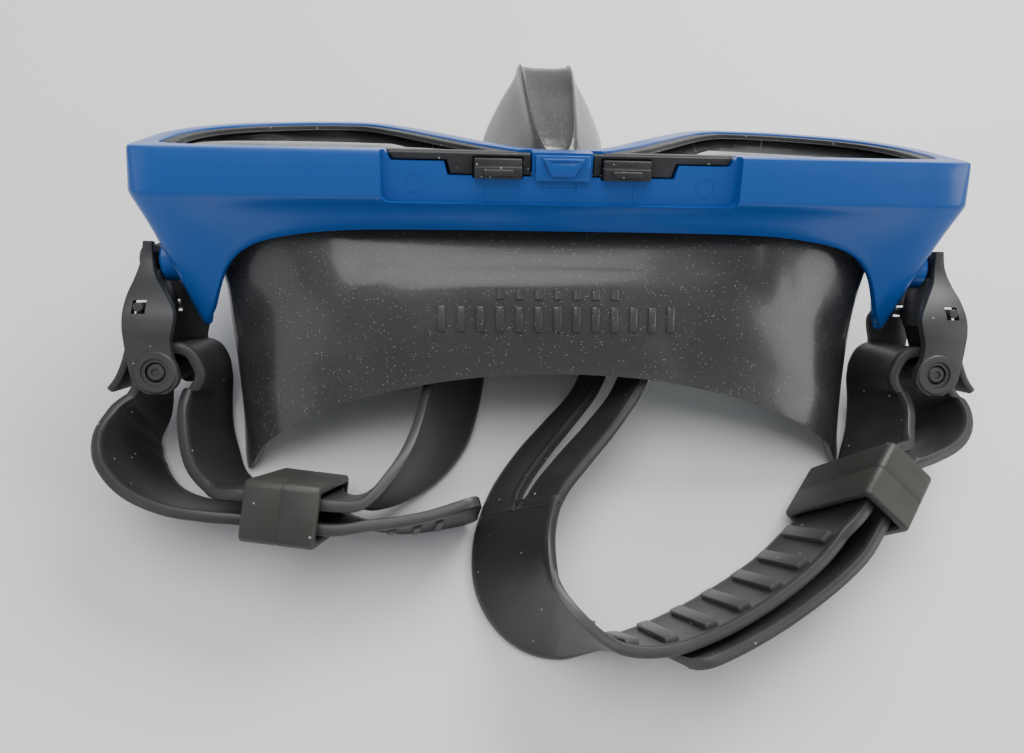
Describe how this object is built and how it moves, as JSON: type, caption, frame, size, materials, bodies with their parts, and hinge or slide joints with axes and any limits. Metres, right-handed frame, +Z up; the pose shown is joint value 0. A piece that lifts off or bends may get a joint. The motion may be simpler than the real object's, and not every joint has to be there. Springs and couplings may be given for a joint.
{
  "type": "diving mask",
  "caption": "Diving mask with blue frame, separate lenses in black carriers, dark silicone skirt with nose pocket, swivel buckles and a silicone head strap.",
  "frame": {"origin": "middle of the bounding box in plan, on the floor the mask lies on, lens side up", "axes": "+X to the wearer's left as seen from the front (across the mask), +Y towards the nose pocket, +Z up from the floor"},
  "size_m": [0.1796, 0.1452, 0.0541],
  "materials": {
    "blue_shell": "satin gloss",
    "carrier_black": "fine grain",
    "dark_silicone": "semi-gloss",
    "buckle_grey": "matte",
    "lens_glass": "polished"
  },
  "bodies": {
    "mask": {"frame": "blue_shell", "bridge_clip": "blue_shell", "inner_retainer": "carrier_black", "skirt": "dark_silicone", "lens_left": "lens_glass", "lens_right": "lens_glass", "lens_carrier_left": "carrier_black", "lens_carrier_right": "carrier_black", "buckle_pivot_pin_left": "buckle_grey", "buckle_pivot_pin_right": "buckle_grey", "head_strap": "dark_silicone"},
    "buckle_left": {"buckle_body_left": "buckle_grey", "roller_pin_left": "buckle_grey", "lever_spring_left": "buckle_grey"},
    "roller_left": {"strap_roller_left": "buckle_grey"},
    "lever_left": {"release_lever_left": "buckle_grey"},
    "latch_left": {"lens_latch_left": "carrier_black"},
    "keeper_left": {"strap_keeper_left": "buckle_grey"},
    "buckle_right": {"buckle_body_right": "buckle_grey", "roller_pin_right": "buckle_grey", "lever_spring_right": "buckle_grey"},
    "roller_right": {"strap_roller_right": "buckle_grey"},
    "lever_right": {"release_lever_right": "buckle_grey"},
    "latch_right": {"lens_latch_right": "carrier_black"},
    "keeper_right": {"strap_keeper_right": "buckle_grey"}
  },
  "joints": [
    {"name": "buckle_swivel_left", "type": "hinge", "parent": "mask", "child": "buckle_left", "pos_m": [-0.07819, 0.00797, 0.02985], "axis": [1, 0, 0], "range_deg": [-15, 25], "deforming": ["head_strap"]},
    {"name": "strap_roller_turn_left", "type": "hinge", "parent": "buckle_left", "child": "roller_left", "pos_m": [-0.07819, -0.00888, 0.01571], "axis": [0, -0.6428, 0.766], "continuous": true},
    {"name": "lever_release_left", "type": "hinge", "parent": "buckle_left", "child": "lever_left", "pos_m": [-0.08119, 0.00077, 0.02381], "axis": [0, 0.6428, -0.766], "range_deg": [0, 20], "stiffness_Nm_per_rad": 0.05},
    {"name": "latch_press_left", "type": "slide", "parent": "mask", "child": "latch_left", "axis": [0, 0.8387, -0.5446], "range_m": [0, 0.0012], "stiffness_N_per_m": 200},
    {"name": "keeper_slide_left", "type": "slide", "parent": "mask", "child": "keeper_left", "axis": [0.9903, -0.139, 0], "range_m": [-0.0015, 0.0015], "deforming": ["head_strap"]},
    {"name": "buckle_swivel_right", "type": "hinge", "parent": "mask", "child": "buckle_right", "pos_m": [0.07901, 0.00797, 0.02985], "axis": [1, 0, 0], "range_deg": [-15, 25], "deforming": ["head_strap"]},
    {"name": "strap_roller_turn_right", "type": "hinge", "parent": "buckle_right", "child": "roller_right", "pos_m": [0.07901, -0.00888, 0.01571], "axis": [0, -0.6428, 0.766], "continuous": true},
    {"name": "lever_release_right", "type": "hinge", "parent": "buckle_right", "child": "lever_right", "pos_m": [0.08201, 0.00077, 0.02381], "axis": [0, -0.6428, 0.766], "range_deg": [0, 20], "stiffness_Nm_per_rad": 0.05},
    {"name": "latch_press_right", "type": "slide", "parent": "mask", "child": "latch_right", "axis": [0, 0.8387, -0.5446], "range_m": [0, 0.0012], "stiffness_N_per_m": 200},
    {"name": "keeper_slide_right", "type": "slide", "parent": "mask", "child": "keeper_right", "axis": [-0.6198, -0.7848, 0], "range_m": [-0.0015, 0.0015], "deforming": ["head_strap"]}
  ]
}
